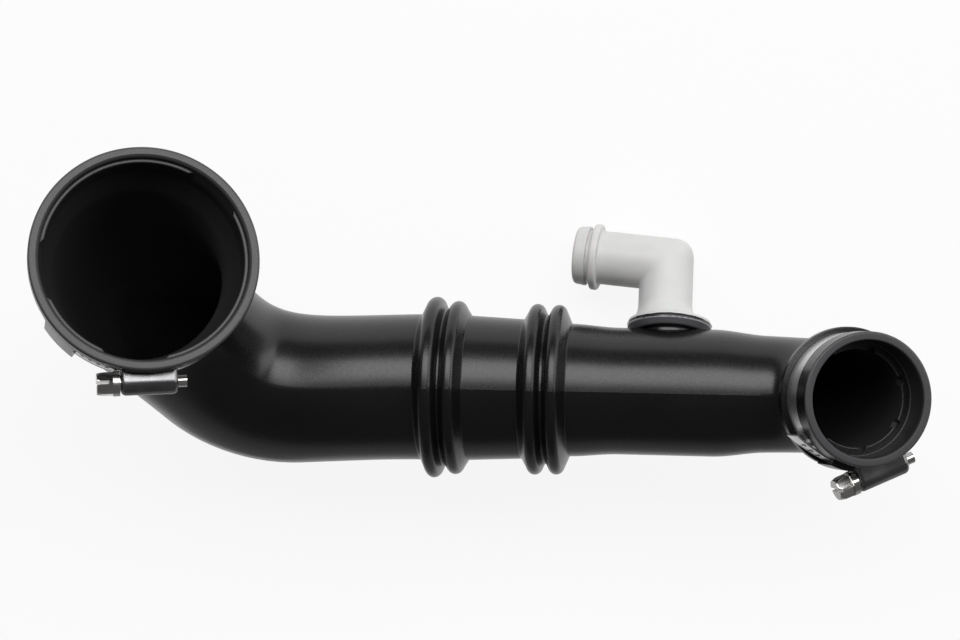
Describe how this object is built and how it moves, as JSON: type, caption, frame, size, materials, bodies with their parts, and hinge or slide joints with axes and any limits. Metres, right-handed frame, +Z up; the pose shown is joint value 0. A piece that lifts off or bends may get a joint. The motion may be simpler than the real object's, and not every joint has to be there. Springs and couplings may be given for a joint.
{
  "type": "air intake hose",
  "caption": "Moulded black air intake hose with a bellows in its straight run, a bend at each end, clamped cuffs and an off-white breather elbow.",
  "frame": {"origin": "middle of the underside's bounding box, on the surface the hose lies on", "axes": "+X along the straight run towards the small cuff, +Z up, out of the mouths"},
  "size_m": [0.2904, 0.1176, 0.1067],
  "materials": {
    "hose_rubber": "satin black moulded rubber",
    "elbow_plastic": "off-white moulded plastic",
    "clamp_steel": "bright rolled steel strip",
    "screw_steel": "bright machined steel"
  },
  "bodies": {
    "hose_assembly": {"intake_hose": "hose_rubber", "breather_elbow": "elbow_plastic", "large_clamp_band": "clamp_steel", "large_clamp_housing": "clamp_steel", "small_clamp_band": "clamp_steel", "small_clamp_housing": "clamp_steel"},
    "large_screw": {"large_clamp_screw": "screw_steel"},
    "small_screw": {"small_clamp_screw": "screw_steel"}
  },
  "joints": [
    {"name": "large_screw_turn", "type": "hinge", "parent": "hose_assembly", "child": "large_screw", "pos_m": [-0.10477, -0.01405, 0.09687], "axis": [-0.9688, -0.0018, 0.2477], "continuous": true},
    {"name": "small_screw_turn", "type": "hinge", "parent": "hose_assembly", "child": "small_screw", "pos_m": [0.12966, -0.04698, 0.06822], "axis": [-0.8824, -0.3164, 0.3483], "continuous": true}
  ]
}
